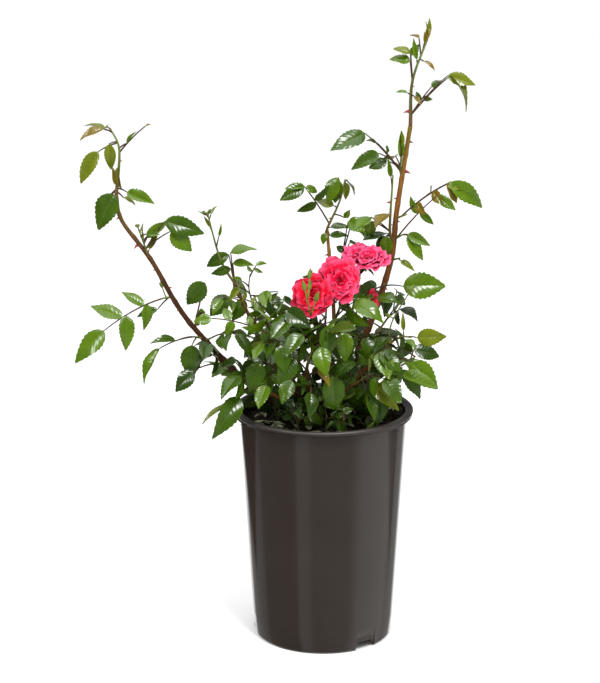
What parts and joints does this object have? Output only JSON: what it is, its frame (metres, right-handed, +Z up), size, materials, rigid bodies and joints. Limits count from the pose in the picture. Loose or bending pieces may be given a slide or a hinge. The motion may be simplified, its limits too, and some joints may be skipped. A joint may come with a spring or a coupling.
{
  "type": "potted rose bush",
  "caption": "Young rose bush with arching canes, glossy compound leaves and a low cluster of double pink blooms, in a round black nursery pot filled with compost.",
  "frame": {"origin": "centre of the pot's flat underside", "axes": "+Z up through the pot, -Y towards the side with the blooms, +X to the right seen from there"},
  "size_m": [0.4159, 0.2325, 0.6611],
  "materials": {
    "pot_plastic": "smooth moulded black-brown plastic, softly glossy",
    "compost": "coarse dark compost with bark crumbs and fine roots",
    "cane_wood": "satin bark, red-brown low down and olive green higher up, with prickles",
    "foliage": "glossy above and matt beneath, bronze at the young tips",
    "blossom": "velvety strong pink petals, paler at the rims"
  },
  "bodies": {
    "root": {"pot": "pot_plastic", "root_ball": "compost", "stock": "cane_wood", "left_cane": "cane_wood", "left_inner_cane": "cane_wood", "middle_cane": "cane_wood", "bloom_cane": "cane_wood", "right_cane": "cane_wood", "right_low_cane": "cane_wood", "low_left_cane": "cane_wood", "front_left_cane": "cane_wood", "front_cane": "cane_wood", "front_right_cane": "cane_wood", "back_left_cane": "cane_wood", "back_cane": "cane_wood", "back_right_cane": "cane_wood", "side_right_cane": "cane_wood", "left_tip": "foliage", "left_mid_spray": "foliage", "left_long_leaf": "foliage", "left_arch_leaf": "foliage", "left_low_leaf": "foliage", "left_inward_leaf": "foliage", "left_curl_leaf": "foliage", "inner_left_tip": "foliage", "left_young_shoot": "foliage", "left_inner_leaf": "foliage", "middle_tip": "foliage", "middle_right_leaf": "foliage", "bloom_left": "blossom", "bloom_centre": "blossom", "bloom_right": "blossom", "right_tip": "foliage", "right_upper_left_leaf": "foliage", "right_side_shoot": "foliage", "right_long_leaf": "foliage", "right_outer_leaf": "foliage", "right_small_leaf": "foliage", "right_large_leaf": "foliage", "right_low_tip": "foliage", "right_bud_stem": "foliage", "right_low_leaf": "foliage", "right_front_leaf": "foliage", "right_long_low_leaf": "foliage", "low_left_tip": "foliage", "front_left_tip": "foliage", "front_left_side": "foliage", "front_tip": "foliage", "front_low_leaf": "foliage", "front_right_tip": "foliage", "back_left_side": "foliage", "back_left_tip": "foliage", "back_right_side": "foliage", "back_right_tip": "foliage", "back_side": "foliage", "back_tip": "foliage", "side_right_side": "foliage", "side_right_tip": "foliage"}
  },
  "joints": []
}
